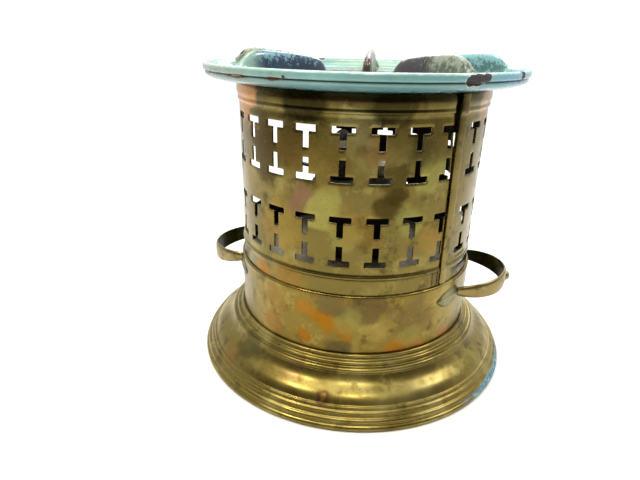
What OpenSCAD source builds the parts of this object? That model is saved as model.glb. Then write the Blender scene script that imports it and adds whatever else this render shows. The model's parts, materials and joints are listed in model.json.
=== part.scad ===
// Round brass spirit stove: a flared foot and drum, a pierced gallery that drops into the
// drum, an enamelled cast pot ring with five lugs on top, and a loose spirit lamp inside.
// Millimetres, +Z up, origin at the centre of the face the foot stands on.
// Azimuths are degrees from the front (-Y), positive towards +X.

/* [Base] */
// Outside radius of the pierced gallery; the drum and the foot follow it
gallery_r = 70; // [68:0.5:74]
// How far the foot spreads beyond the gallery
foot_spread = 27.5; // [24:0.5:32]
// Height of the three beads where the foot meets the drum
collar_z = 23.6; // [22:0.2:26]
// Height of the drum's rolled rim
drum_top = 64.8; // [62:0.2:68]
// Thickness of the spun brass sheet
sheet = 1; // [0.8:0.1:1.2]

/* [Gallery] */
// Height of the gallery's top edge above the table
gallery_top = 165.2; // [162:0.2:170]
// Height of the lowest point of the lower row of slots
slot_low_z = 80.4; // [79:0.2:82]
// Height of the lowest point of the upper row of slots
slot_high_z = 123.8; // [122:0.2:125]
// Height of one I-shaped slot
slot_h = 26.5; // [24:0.5:28]
// Length of the slot's cross bars
slot_w = 11.2; // [9:0.2:12]
// Angle between slots on the panel left of the seam
left_pitch = 15; // [14:0.5:15]
// Angle between slots on the panel right of the seam
right_pitch = 15.6; // [15:0.2:15.8]
// Azimuth of the folded seam strip
seam_angle = 43.2; // [42:0.2:44]

/* [Lamp opening] */
// Azimuth of the middle of the opening in the gallery
opening_angle = -124.5; // [-126:0.5:-123]
// Width of the opening
opening_w = 66; // [60:1:67]
// Height of the opening's sill
opening_z = 84; // [82:1:90]
// Height of the opening
opening_h = 66; // [50:1:68]

/* [Pot ring] */
// Outside radius of the pot ring
ring_r = 88.3; // [86:0.1:92]
// Radius of the hole in the middle of the pot ring
ring_hole_r = 57; // [54:1:60]
// Height of the lugs above the rim
lug_rise = 6.8; // [5:0.2:8]
// Azimuth of the lug at the back
lug_angle = 176; // [170:1:182]

/* [Handles] */
// Azimuth of the right finger loop
right_loop_angle = 79; // [76:1:82]
// Azimuth of the left finger loop
left_loop_angle = -98; // [-101:1:-92]
// Outside radius of each finger loop
loop_r = 27; // [24:1:28]
// Height of the middle of the loops
loop_z = 56.5; // [54:0.5:58]

/* [Lamp] */
// Radius of the lamp's bowl
lamp_r = 26; // [24:0.5:28]
// Height of the lamp's bowl
lamp_h = 42; // [38:1:44]
// Outside radius of the wick tube
wick_tube_r = 6; // [5.5:0.1:6.5]
// Distance of the wick tube from the lamp's middle
wick_off = 10; // [8:0.5:11]
// Distance of the filler neck from the lamp's middle
filler_off = 13; // [13:0.5:15]

/* [Hidden] */
$fn = 96;

gap = 0.3;                       // between faces of pieces that come apart
slip = 0.08;                     // radial clearance of the sliding sleeve
eps = 0.05;
drum_in = gallery_r + gap;
drum_out = drum_in + sheet;
foot_r = gallery_r + foot_spread;
gallery_in = gallery_r - 0.9;
floor_z = drum_top - 0.8;        // top of the raised middle of the floor plate
moat_z = drum_top - 7.8;         // top of the groove that the gallery stands in
gallery_low = moat_z + gap;
collar_low = gallery_top - 8;
ring_z = gallery_top + gap;      // underside of the pot ring
rim_z = ring_z + 9.1;
crest_z = rim_z + lug_rise;
lug_in = 31.5;
lug_wide = 9;
lug_thin = 4;
plate_t = 0.9;                   // thickness of the soldered handle plates
strap_t = 1.8;
strap_h = 9.4;
loop_mid = drum_out - 4;         // distance of the loops' centres from the axis
lamp_z = floor_z + gap;
lid_z = lamp_z + lamp_h;
tube_top = lid_z + 21.5;
wick_top = tube_top + 10;
neck_top = lid_z + 4.5;
sleeve_z = lid_z + 3.5;
sleeve_h = 12;
left_first = 8.9 - 6 * left_pitch;
right_first = 55.5;

// ---- profiles ----

// point at distance r from c, at angle a
function polar(c, r, a) = [c[0] + r * cos(a), c[1] + r * sin(a)];

// arc about c from angle a to angle b in n steps
function arc(c, r, a, b, n = 8) = [for (i = [0:n]) polar(c, r, a + (b - a) * i / n)];

// straight line from p to q with an S-shaped swell of height h, hollow first
function ogee(p, q, h, n = 16) = let (d = q - p, len = norm(d), m = [-d[1], d[0]] / len)
    [for (i = [0:n]) p + d * i / n - m * h * sin(360 * i / n)];

// shape swung round the Z axis to azimuth a; the shape is drawn pointing along +X
module at(a) {
    rotate([0, 0, a - 90]) children();
}

// plane figure drawn as (sideways, up) and pushed outwards through the wall at azimuth a
module through_wall(a, r0, r1) {
    at(a) translate([r0, 0, 0]) rotate([90, 0, 90]) linear_extrude(r1 - r0) children();
}

module tube(r_out, r_in, z0, z1) {
    difference() {
        translate([0, 0, z0]) cylinder(r = r_out, h = z1 - z0);
        translate([0, 0, z0 - 1]) cylinder(r = r_in, h = z1 - z0 + 2);
    }
}

// ---- base ----

// flared skirt with three beads at the drum, a swelling flank and four beads at its edge
module foot() {
    r0 = drum_out;
    z0 = collar_z;
    flank = ogee([r0 + 7.2, z0 - 1.5], [foot_r - 6.9, 11], 0.9);
    outer = concat(
        [[r0, z0 + 8.6]],
        arc([r0 + 0.5, z0 + 6.9], 1.3, 80, -40),
        arc([r0 + 3.2, z0 + 3.5], 1.5, 110, -35),
        arc([r0 + 6.1, z0], 1.6, 110, -45),
        flank,
        arc([foot_r - 6.5, 10.3], 0.8, 95, -30, 5),
        arc([foot_r - 5.2, 8], 1.4, 80, -30),
        arc([foot_r - 3.1, 4.9], 1.6, 90, -30),
        arc([foot_r - 1.8, 1.6], 1.8, 75, -52), [[foot_r - 0.9, 0]]);
    inner = concat(
        [[foot_r - 2.4, 0], [foot_r - 4.6, 4], [foot_r - 7.9, 9]],
        [for (i = [len(flank) - 1:-2:0]) flank[i] - [1.15, 0.85]],
        [[r0 + 2.2, z0 + 2.2], [r0, z0 + 4.6]]);
    color("darkgoldenrod") rotate_extrude($fn = 180) polygon(concat(outer, inner));
}

// plain wall with a rolled rim
module drum() {
    color("goldenrod") union() {
        tube(drum_out, drum_in, collar_z + 3.2, drum_top - 0.8);
        rotate_extrude($fn = 180) translate([drum_in + 0.8, drum_top - 0.8]) circle(r = 0.8);
    }
}

// dished floor: a raised middle for the lamp and a groove round it for the gallery
module floor_plate() {
    color("sienna") rotate_extrude() polygon([
        [0, floor_z], [gallery_in - 3.6, floor_z], [gallery_in - 2.6, floor_z - 1],
        [gallery_in - 2.2, moat_z], [drum_in, moat_z], [drum_in, moat_z - 6],
        [drum_in - 1, moat_z - 6], [drum_in - 1, moat_z - 1], [gallery_in - 3.2, moat_z - 1],
        [gallery_in - 3.6, floor_z - 2], [gallery_in - 4.2, floor_z - 1], [0, floor_z - 1]]);
}

// D-shaped strap section: flat inside, swelling outwards
module strap_section() {
    intersection() {
        translate([-5.6, 0]) circle(r = 5.6 + strap_t);
        translate([0, -strap_h / 2]) square([strap_t, strap_h]);
    }
}

// half-round finger loop with two short legs that end on the soldered plates
module loop_handle(a) {
    leg = loop_mid - sqrt(pow(drum_out + plate_t, 2) - pow(loop_r - strap_t / 2, 2));
    difference() {
        at(a) translate([loop_mid, 0, loop_z]) {
            rotate([0, 0, -90]) rotate_extrude(angle = 180)
                translate([loop_r - strap_t, 0]) strap_section();
            for (side = [-1, 1])
                translate([0, side * (loop_r - strap_t), 0]) mirror([0, side < 0 ? 1 : 0, 0])
                    rotate([90, 0, -90]) mirror([1, 0, 0]) linear_extrude(leg + 2)
                        strap_section();
        }
        cylinder(r = drum_out + plate_t, h = 3 * drum_top);
    }
}

// leaf-shaped plate curved round the drum under the end of a loop
module leaf_plate(a) {
    intersection() {
        tube(drum_out + plate_t, drum_out, loop_z - 9, loop_z + 7.5);
        through_wall(a, gallery_r - 10, gallery_r + 12) intersection() {
            translate([0, 9]) translate([0, loop_z - 1]) circle(r = 14.5);
            translate([0, -9]) translate([0, loop_z - 1]) circle(r = 14.5);
        }
    }
}

// small turned button riveted to the middle of a loop
module loop_button(a) {
    at(a) translate([loop_mid + loop_r, 0, loop_z]) rotate([0, 90, 0]) rotate_extrude()
        polygon(concat([[0, 0], [2.4, 0], [2.4, 0.3], [2.7, 0.6]], arc([0, 0.6], 2.7, 0, 90)));
}

// ---- gallery ----

// one half of an I-shaped slot: a T drawn with its cross bar at the bottom
module slot_half() {
    stem = slot_w * 0.3;
    bar = slot_h * 0.125;
    translate([-slot_w / 2, 0]) square([slot_w, bar]);
    translate([-stem / 2, 0]) square([stem, slot_h * 0.415]);
}

module i_slot() {
    slot_half();
    translate([0, slot_h]) mirror([0, 1]) slot_half();
}

module slots(first, pitch, count) {
    for (i = [0:count - 1], z = [slot_low_z, slot_high_z])
        through_wall(first + i * pitch, gallery_r - 8, gallery_r + 8) translate([0, z]) i_slot();
}

module rounded_window(w, h, r) {
    translate([-w / 2 + r, 0]) square([w - 2 * r, h]);
    translate([-w / 2, r]) square([w, h - 2 * r]);
    for (x = [-w / 2 + r, w / 2 - r], z = [r, h - r]) translate([x, z]) circle(r = r);
}

// space taken by the folded seam strip
module seam_space() {
    intersection() {
        tube(gallery_r + 2.2, gallery_r, drum_top + 0.6, gallery_top - 0.1);
        through_wall(seam_angle, gallery_r - 5, gallery_r + 5)
            translate([-2.4, 0]) square([4.8, gallery_top]);
    }
}

// rolled sheet with two rows of slots, an opening for the lamp, and a sprung seam
module gallery() {
    color("darkkhaki") difference() {
        union() {
            tube(gallery_r, gallery_in, gallery_low, collar_low + 1);
            rotate_extrude($fn = 180) {
                translate([gallery_r - 0.1, slot_low_z - 6]) circle(r = 0.75);
                translate([gallery_r + 0.1, collar_low]) circle(r = 0.9);
                polygon(concat([[gallery_in + 0.1, collar_low - 0.2],
                    [gallery_r, collar_low - 0.2], [gallery_r + 1, collar_low + 2]],
                    arc([gallery_r - 2.2, gallery_top - 3.6], 3.6, 0, 64),
                    [[gallery_r - 1, gallery_top - 0.4], [gallery_r + 0.4, gallery_top - 3.6],
                    [gallery_in + 0.7, collar_low + 2.6]]));
            }
        }
        slots(left_first, left_pitch, 9);
        slots(right_first, right_pitch, 10);
        through_wall(opening_angle, gallery_r / 3, gallery_r + 8) translate([0, opening_z])
            rounded_window(opening_w, opening_h, 7);
        through_wall(seam_angle - 2, gallery_r - 8, gallery_r + 8) polygon([
            [-4.6, gallery_top + 1], [-0.6, gallery_top - 33], [-0.3, slot_low_z + slot_h + 4],
            [0, slot_low_z + slot_h + 4], [0, gallery_top + 1]]);
        seam_space();
    }
}

// folded edge of the sheet, standing proud of the gallery from rim to collar
module seam_strip() {
    color("olive") difference() {
        seam_space();
        tube(gallery_r + 3, gallery_r + 1.5, 0, collar_low - 1.5);
    }
}

// short soldered lap beside the foot of the seam
module seam_lap() {
    color("darkolivegreen") intersection() {
        tube(gallery_r + 0.6, gallery_r, drum_top + 0.6, slot_low_z - 7);
        through_wall(seam_angle - 4.4, gallery_r - 5, gallery_r + 5)
            translate([-2.4, 0]) square([4.8, slot_low_z]);
    }
}

// ---- pot ring ----

// side view of a lug, drawn as (distance from the axis, height)
module lug_side() {
    polygon(concat(
        [[ring_r - 1.6, rim_z - 3]],
        arc([ring_r + 4, rim_z + 3.2], 6, 215, 160, 5),
        arc([ring_r - 11, crest_z - 6.4], 6.4, 50, 92, 5),
        [[55, crest_z - 1.2]],
        arc([lug_in + 9, crest_z - 11], 9, 78, 180, 9),
        arc([lug_in + 2.5, ring_z + 2.6], 2.5, 180, 262, 4),
        [[ring_hole_r + 2, ring_z + 0.6], [ring_r - 8, ring_z + 2]]));
}

// end view of a lug: wide at the bottom, with a rounded top
module lug_end() {
    polygon(concat([[-lug_wide / 2, ring_z - 2], [lug_wide / 2, ring_z - 2]],
        arc([0, crest_z - lug_thin / 2], lug_thin / 2, 14, 166)));
}

// cast ring: a thick rim with a groove, a dished inside and a spigot, with five lugs
module pot_ring() {
    spigot = gallery_in - 0.4;
    color("mediumturquoise") union() {
        rotate_extrude($fn = 180) polygon(concat(
            [[ring_hole_r, ring_z + 0.8], [ring_hole_r + 0.8, ring_z], [spigot - 2.4, ring_z],
            [spigot - 2, ring_z - 4.6], [spigot, ring_z - 4.6], [spigot, ring_z],
            [ring_r - 15.4, ring_z]],
            arc([ring_r - 14, ring_z + 16], 16, -84, -60, 4),
            [[ring_r - 1.6, ring_z + 3], [ring_r - 0.9, ring_z + 3.6], [ring_r - 0.9, ring_z + 4],
            [ring_r, ring_z + 4.6]],
            arc([ring_r - 1.5, rim_z - 1.5], 1.5, 0, 110, 6),
            arc([ring_r - 11, rim_z + 3], 8.4, -40, -80, 6),
            [[ring_hole_r + 1.4, ring_z + 2.4]],
            arc([ring_hole_r + 1.2, ring_z + 1.2], 1.2, 90, 180, 3)));
        for (i = [0:4]) at(lug_angle + 72 * i) intersection() {
            rotate([90, 0, 0]) translate([0, 0, -lug_wide]) linear_extrude(2 * lug_wide)
                lug_side();
            rotate([90, 0, 90]) linear_extrude(ring_r) lug_end();
        }
    }
}

// ---- lamp ----

// upright shaft or hole at a distance x from the lamp's middle
module post(x, r, z0, z1) {
    translate([x, 0, z0]) cylinder(r = r, h = z1 - z0);
}

// tin bowl that holds the spirit, with a rolled rim
module lamp_bowl() {
    color("dimgray") rotate_extrude() polygon(concat(
        [[0, lamp_z]], arc([lamp_r - 5, lamp_z + 4], 4, -90, 0, 5),
        [[lamp_r, lid_z - 3], [lamp_r + 2, lid_z - 1.4], [lamp_r + 2, lid_z],
        [lamp_r - 1, lid_z]],
        arc([lamp_r - 5, lamp_z + 4], 3.1, 0, -90, 5), [[0, lamp_z + 0.9]]));
}

// shallow domed lid that carries the wick tube and the filler neck
module lamp_lid() {
    color("gray") difference() {
        union() {
            post(0, lamp_r + 1.2, lid_z, lid_z + 0.9);
            rotate_extrude() polygon([[0, lid_z + 0.5], [lamp_r - 2.4, lid_z + 0.5],
                [lamp_r - 3, lid_z + 1.6], [lamp_r - 5, lid_z + 2.2], [0, lid_z + 2.2]]);
        }
        post(0, lamp_r - 5, lid_z - 1, lid_z + 1.2);
        post(-wick_off, wick_tube_r, lid_z - 1, lid_z + 4);
        post(filler_off, 5.4, lid_z - 1, lid_z + 4);
    }
}

module wick_tube() {
    color("darkslategray") difference() {
        post(-wick_off, wick_tube_r, lid_z - 20, tube_top);
        post(-wick_off, wick_tube_r - 0.8, lid_z - 21, tube_top + 1);
    }
}

// cotton wick: straight in the tube, with a charred crown above it
module wick() {
    color("black") union() {
        post(-wick_off, wick_tube_r - 0.8, lamp_z + 3, tube_top);
        translate([-wick_off, 0, 0]) rotate_extrude() polygon(concat(
            [[0, tube_top], [wick_tube_r - 0.4, tube_top], [wick_tube_r - 0.2, tube_top + 4]],
            arc([0, wick_top - wick_tube_r + 0.2], wick_tube_r - 0.2, 10, 90)));
    }
}

module filler_neck() {
    color("silver") difference() {
        union() {
            post(filler_off, 5.4, lid_z - 2, neck_top);
            post(filler_off, 6.4, lid_z + 2.2, lid_z + 3);
        }
        post(filler_off, 4.5, lid_z - 3, neck_top + 1);
    }
}

// turned screw cap with a plug that reaches into the neck
module filler_cap() {
    color("lightslategray") difference() {
        union() {
            post(filler_off, 7, neck_top + 1.3, neck_top + 6);
            post(filler_off, 5.6, neck_top + 6, neck_top + 7);
            post(filler_off, 4.4, neck_top - 4, neck_top + 1.3);
        }
        for (i = [0:17]) translate([filler_off, 0, 0]) rotate([0, 0, 20 * i])
            post(7.3, 0.6, neck_top + 1, neck_top + 5.2);
    }
}

module cap_washer() {
    color("saddlebrown") difference() {
        post(filler_off, 6.2, neck_top + gap, neck_top + 1.3);
        post(filler_off, 4.4, neck_top, neck_top + 2);
    }
}

// finger ring on the side of the bowl that faces the opening
module lamp_grip() {
    color("gray") at(opening_angle) difference() {
        union() {
            translate([lamp_r + 11, 0, lamp_z + 24]) rotate([90, 0, 0]) rotate_extrude()
                translate([9, 0]) circle(r = 1.4);
            translate([lamp_r - 3, -4, lamp_z + 17]) cube([4.6, 8, 14]);
        }
        translate([0, 0, lamp_z]) at(90 - opening_angle) cylinder(r = lamp_r, h = lamp_h);
    }
}

module grip_rivets() {
    color("darkgoldenrod") at(opening_angle) for (z = [20, 28], y = [-2.4])
        translate([lamp_r + 1.6, y, lamp_z + z]) rotate([0, 90, 0]) rotate_extrude()
            polygon(concat([[0, 0]], arc([0, 0], 1.1, 0, 90, 5)));
}

// sleeve that slides up the wick tube to shorten the flame
module regulator_sleeve() {
    color("slategray") difference() {
        union() {
            post(-wick_off, wick_tube_r + 1.1, sleeve_z, sleeve_z + sleeve_h);
            post(-wick_off, wick_tube_r + 2.2, sleeve_z, sleeve_z + 1.2);
        }
        post(-wick_off, wick_tube_r + slip, sleeve_z - 1, sleeve_z + sleeve_h + 1);
    }
}

// flat arm from the sleeve towards the opening
module regulator_arm() {
    color("black") translate([-wick_off, 0, 0]) at(opening_angle) difference() {
        translate([wick_tube_r, -1.6, sleeve_z + 1.2]) cube([34, 3.2, 1.6]);
        translate([0, 0, sleeve_z]) cylinder(r = wick_tube_r + 1.1, h = sleeve_h);
    }
}

module regulator_knob() {
    color("saddlebrown") translate([-wick_off, 0, 0]) at(opening_angle)
        translate([wick_tube_r + 34, 0, sleeve_z + 2]) rotate([0, 90, 0]) rotate_extrude()
            polygon(concat([[0, 0], [2, 0]], arc([0, 3.6], 3.4, -40, 90, 8)));
}

foot();
drum();
floor_plate();
color("peru") loop_handle(right_loop_angle);  // right_handle
color("tan") leaf_plate(right_loop_angle - 28);  // right_front_plate
color("tan") leaf_plate(right_loop_angle + 28);  // right_rear_plate
color("gold") loop_button(right_loop_angle);  // right_button
color("peru") loop_handle(left_loop_angle);  // left_handle
color("tan") leaf_plate(left_loop_angle + 28);  // left_front_plate
color("tan") leaf_plate(left_loop_angle - 28);  // left_rear_plate
color("gold") loop_button(left_loop_angle);  // left_button
gallery();
seam_strip();
seam_lap();
pot_ring();
lamp_bowl();
lamp_lid();
wick_tube();
wick();
lamp_grip();
grip_rivets();
filler_neck();
filler_cap();
cap_washer();
regulator_sleeve();
regulator_arm();
regulator_knob();
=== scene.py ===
# %% [markdown]
# # An old brass spirit stove
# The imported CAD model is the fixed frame. Each step below takes one piece or one finish, says
# what it is on the real stove, and makes it. Shapes are worked out in millimetres and turned
# into metres only when a mesh is made. Azimuths are degrees from the front (-Y) towards +X.

# %% Load the frame
import json
import math
import bmesh
import bpy
import numpy as np
from mathutils import Matrix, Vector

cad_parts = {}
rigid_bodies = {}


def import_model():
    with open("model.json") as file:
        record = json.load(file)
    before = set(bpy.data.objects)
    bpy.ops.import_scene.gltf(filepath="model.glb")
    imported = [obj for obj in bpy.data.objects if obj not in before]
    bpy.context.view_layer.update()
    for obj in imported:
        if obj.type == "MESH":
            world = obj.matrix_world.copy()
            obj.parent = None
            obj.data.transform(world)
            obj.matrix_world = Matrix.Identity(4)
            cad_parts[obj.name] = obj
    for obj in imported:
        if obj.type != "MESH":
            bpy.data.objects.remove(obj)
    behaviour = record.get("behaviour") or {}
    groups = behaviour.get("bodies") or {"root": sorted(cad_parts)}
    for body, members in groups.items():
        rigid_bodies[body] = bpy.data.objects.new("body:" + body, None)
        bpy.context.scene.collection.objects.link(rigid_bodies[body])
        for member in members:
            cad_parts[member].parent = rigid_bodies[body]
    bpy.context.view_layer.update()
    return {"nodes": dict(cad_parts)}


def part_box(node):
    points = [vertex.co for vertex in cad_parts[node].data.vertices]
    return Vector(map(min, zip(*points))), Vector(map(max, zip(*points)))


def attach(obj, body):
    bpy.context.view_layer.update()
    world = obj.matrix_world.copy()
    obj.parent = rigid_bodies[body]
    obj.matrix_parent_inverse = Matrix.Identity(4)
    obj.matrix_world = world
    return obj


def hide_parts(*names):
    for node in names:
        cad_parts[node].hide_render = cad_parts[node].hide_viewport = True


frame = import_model()
MM = 0.001  # one millimetre, in Blender's metres
print("nodes in the frame:", len(frame["nodes"]))

# %% [markdown]
# The driving sizes are read back from the CAD nodes, so that every new surface lies where the
# CAD surface lies. The floor plate touches the drum's inside, which gives the drum's radius.

# %% Sizes from the frame
def high(node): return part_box(node)[1].z / MM
def low(node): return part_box(node)[0].z / MM
def reach(node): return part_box(node)[1].y / MM

drum_in = reach("floor_plate") + 0.02
drum_out = drum_in + 1
gallery_r = drum_in - 0.3
foot_r = reach("foot")
drum_top = high("drum")
gallery_low, gallery_top = low("gallery"), high("gallery")
ring_z = low("pot_ring") + 4.6
ring_r = reach("pot_ring")
crest_z = high("pot_ring")
print("gallery radius", round(gallery_r, 2), "foot radius", round(foot_r, 2))

# %% [markdown]
# A few helpers make every piece. A grid of points has rows and columns, and `quads` joins them.
# `loft` joins closed sections, and `spin` carries a profile round the Z axis. `outward`
# measures a closed shell's volume and turns its faces round when the volume is negative.

# %% Mesh helpers
STEPS = 288  # points round the axis, 1.25 degrees apart

def quads(rows, columns, close_rows=False, close_columns=False):
    """Faces of a grid: corner (i, j) joins (i, j+1), (i+1, j+1) and (i+1, j)."""
    i = np.arange(rows if close_rows else rows - 1)[:, None]
    j = np.arange(columns if close_columns else columns - 1)[None, :]
    i2, j2 = (i + 1) % rows, (j + 1) % columns
    corners = [i * columns + j, i * columns + j2, i2 * columns + j2, i2 * columns + j]
    return np.stack(np.broadcast_arrays(*corners), -1).reshape(-1, 4)


def outward(points, blocks):
    """Signed volume: a sixth of the sum of a . (b x c) over the fan of triangles in each face."""
    volume = 0.0
    for block in blocks:
        for k in range(1, block.shape[1] - 1):
            a, b, c = points[block[:, 0]], points[block[:, k]], points[block[:, k + 1]]
            volume += np.einsum("ij,ij", a, np.cross(b, c))
    return blocks if volume > 0 else [block[:, ::-1] for block in blocks]


def make(name, shells, closed=True):
    """A smooth-shaded object from (points in mm, blocks of faces) pairs, each facing outwards."""
    start, all_points, all_faces = 0, [], []
    for points, blocks in shells:
        points = np.asarray(points, float).reshape(-1, 3)
        for block in outward(points, blocks) if closed else blocks:
            all_faces += (block + start).tolist()
        all_points.append(points)
        start += len(points)
    mesh = bpy.data.meshes.new(name)
    mesh.from_pydata((np.concatenate(all_points) * MM).tolist(), [], all_faces)
    mesh.polygons.foreach_set("use_smooth", np.ones(len(all_faces), bool))
    mesh.update()
    obj = bpy.data.objects.new(name, mesh)
    obj["first_shell"] = sum(len(block) for block in shells[0][1])
    bpy.context.scene.collection.objects.link(obj)
    return obj


def loft(sections):
    """Closed sections, an array (section, point, 3), joined in turn and capped at both ends."""
    m, n = sections.shape[:2]
    caps = [np.arange(n)[None, ::-1], (m - 1) * n + np.arange(n)[None, :]]
    return sections, [quads(m, n, False, True)] + caps


def stand_for(obj, node, body):
    """obj replaces the CAD node of this name and rides on its body."""
    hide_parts(node)
    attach(obj, body)
    print(obj.name, "-", len(obj.data.polygons), "faces")


def round_z(azimuth, r, z):
    """Point at distance r from the axis: x = r sin(a), y = -r cos(a)."""
    a = np.radians(azimuth)
    return np.stack(np.broadcast_arrays(r * np.sin(a), -r * np.cos(a), z), -1)


def arc(centre, r, a, b, n=10):
    """Points at distance r from the centre, from angle a to angle b."""
    t = np.radians(np.linspace(a, b, n + 1))
    return np.stack([centre[0] + r * np.cos(t), centre[1] + r * np.sin(t)], -1)


def spin(profile):
    """A closed (r, z) profile carried round the axis."""
    turn = np.arange(STEPS)[None, :] * 360 / STEPS
    points = round_z(turn, profile[:, 0][:, None], profile[:, 1][:, None])
    return points, [quads(len(profile), STEPS, True, True)]


def dented(points, dents):
    """Pushes points towards the axis by depth x exp(-(distance / size)^2), dent by dent."""
    for azimuth, z, depth, size in dents:
        r = np.hypot(points[..., 0], points[..., 1])
        near = np.exp(-((points - round_z(azimuth, r.max(), z)) ** 2).sum(-1) / size**2)
        points = np.concatenate([points[..., :2] * (1 - depth * near / r)[..., None],
                                 points[..., 2:]], -1)
    return points

# %% [markdown]
# ## The foot
# The foot is a disc of brass sheet spun over a chuck: three beads where it meets the drum, a
# flank that is hollow and then full, and four beads at the rolled edge. One closed profile of
# arcs, carried round the axis, gives the same smooth shape that the lathe gave.

# %% Foot
BEAD_Z = low("drum") - 3.2  # middle of the lowest of the three upper beads
SHEET = np.array([1.15, 0.85])  # from the outside of the flank to its inside
FOOT_DENTS = [(-7.8, 13, 0.25, 3.5), (-48, 16, 0.4, 9), (62, 20, 0.5, 8), (150, 16, 0.5, 10)]

def ogee(p, q, h, n=28):
    """A straight line from p to q with an S-shaped swell of height h, hollow first."""
    p, q = np.array(p), np.array(q)
    t = np.linspace(0, 1, n + 1)[:, None]
    normal = np.array([-(q - p)[1], (q - p)[0]]) / np.linalg.norm(q - p)
    return p + (q - p) * t - normal * h * np.sin(2 * np.pi * t)

flank = ogee([drum_out + 7.2, BEAD_Z - 1.5], [foot_r - 6.9, 11], 0.62)
foot_profile = np.concatenate([
    [[drum_out, BEAD_Z + 6.7]],
    arc([drum_out + 0.8, BEAD_Z + 5.3], 1.25, 85, -35),
    arc([drum_out + 3.5, BEAD_Z + 2.6], 1.35, 105, -35),
    arc([drum_out + 6.1, BEAD_Z], 1.6, 110, -45),
    flank,
    arc([foot_r - 6.5, 10.3], 0.8, 95, -30),
    arc([foot_r - 5.2, 8], 1.4, 80, -30),
    arc([foot_r - 3.1, 4.9], 1.6, 90, -30),
    arc([foot_r - 1.8, 1.6], 1.8, 75, -52),
    [[foot_r - 0.9, 0], [foot_r - 2.4, 0], [foot_r - 4.6, 4], [foot_r - 7.9, 9]],
    flank[::-2] - SHEET,
    [[drum_out + 2.2, BEAD_Z + 2.2], [drum_out, BEAD_Z + 4.6]]])
points, faces = spin(foot_profile)
foot = make("spun_foot", [(dented(points, FOOT_DENTS), faces)])
stand_for(foot, "foot", "base")

# %% [markdown]
# ## The drum
# A plain wall with a rolled rim. It has a crease and some shallow knocks, which show in the
# reflections more than in the outline, so they are real dents in the surface.

# %% Drum
DRUM_DENTS = [(-20.4, 46.5, 0.5, 3), (-16, 44, 0.35, 4), (8, 40, 0.25, 14), (-38, 50, 0.3, 12),
              (35, 48, 0.3, 11), (120, 45, 0.6, 12), (-140, 42, 0.5, 9), (-16.4, 30.8, 0.4, 1.2)]
wall = np.linspace(low("drum"), drum_top - 2.2, 46)
rim_in = drum_in - 0.14  # the rolled rim grips the gallery lightly
drum_profile = np.concatenate([
    np.stack([np.full(len(wall), drum_out), wall], -1),
    [[drum_out + 0.1, drum_top - 1.8]],
    [rim_in, drum_top - 1.3] + arc([0, 0], 1, -5, 90, 12) * [1.34, 1.25],
    [[rim_in, drum_top - 1.2], [drum_in, drum_top - 3], [drum_in, low("drum")]]])
points, faces = spin(drum_profile)
drum = make("spun_drum", [(dented(points, DRUM_DENTS), faces)])
stand_for(drum, "drum", "base")

# %% [markdown]
# ## The gallery
# The gallery is sheet brass, punched flat, beaded, and rolled into a sleeve. It is made here
# in the same order: a flat grid of (azimuth, height), with grid lines on every edge of every
# slot, cells left out where the punch went, and a relief in r for the beads and the collar.
# Solidify then gives the sheet its thickness, and a fine Bevel rubs its edges.

# %% Slot pattern
SLOT_H, SLOT_LOW, SLOT_HIGH = 26.5, 80.4, 123.8  # height of an I, feet of the two rows
BAR_HALF, STEM_HALF = 4.58, 1.37  # half widths, degrees
BAR_H, T_H = SLOT_H * 0.125, SLOT_H * 0.415  # a bar, and a bar with its stem
SEAM = 43.2  # azimuth of the seam, degrees
left_slots = 8.9 + 15 * np.arange(-6, 3) + 360
right_slots = 55.5 + 15.6 * np.arange(10)
slots = np.concatenate([left_slots, right_slots])
EDGE_RIGHT, EDGE_LEFT = SEAM - 2, SEAM - 2 + 360
OPEN_MID, OPEN_HALF = 360 - 124.5, 28.1
OPEN_HALF_MM = math.radians(OPEN_HALF) * gallery_r
OPEN_Z, OPEN_H, OPEN_R = 84.0, 66.0, 7.0
OPEN_MID_Z = OPEN_Z + OPEN_H / 2
COLLAR_Z = gallery_top - 8

def filled(lines, most):
    """Sorted lines, with extra ones so that no gap is wider than `most`."""
    lines = np.unique(np.round(lines, 4))
    steps = np.maximum(np.ceil(np.diff(lines) / most - 1e-6).astype(int), 1)
    parts = [np.linspace(a, b, n, endpoint=False) for a, b, n in zip(lines[:-1], lines[1:], steps)]
    return np.append(np.concatenate(parts), lines[-1])

ROUND = 0.55  # radius of the punched corners, mm
ROUND_A = math.degrees(ROUND / gallery_r)
offsets = np.array([-BAR_HALF, -BAR_HALF + ROUND_A, -STEM_HALF - ROUND_A, -STEM_HALF])
offsets = np.concatenate([offsets, -offsets])
columns = (slots[:, None] + offsets[None, :]).ravel()
columns = columns[(columns < EDGE_LEFT) & (columns > EDGE_RIGHT)]
ends = [EDGE_RIGHT, EDGE_LEFT, OPEN_MID - OPEN_HALF, OPEN_MID + OPEN_HALF]
columns = filled(np.concatenate([columns, ends]), 1.25)
marks = np.array([0, ROUND, BAR_H - ROUND, BAR_H, T_H - ROUND, T_H])
marks = np.concatenate([marks, SLOT_H - marks])
bead = SLOT_LOW - 6
ends = [gallery_low, gallery_top, OPEN_Z, OPEN_Z + OPEN_H]
rows = filled(np.concatenate([
    SLOT_LOW + marks, SLOT_HIGH + marks, ends, np.linspace(bead - 1.2, bead + 1.2, 9),
    np.linspace(COLLAR_Z - 1.6, COLLAR_Z + 1.6, 11),
    np.linspace(COLLAR_Z + 2, gallery_top, 12)]), 1.7)
print("gallery grid:", len(rows), "x", len(columns))

# %% [markdown]
# A cell is punched out when its middle lies in the upper or lower bar or in a stem. The two
# halves of an I never meet: a bridge is left between their stems. Past the seam's sprung edge
# the sheet gapes, so its last columns are drawn back by more and more towards the top.

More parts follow.
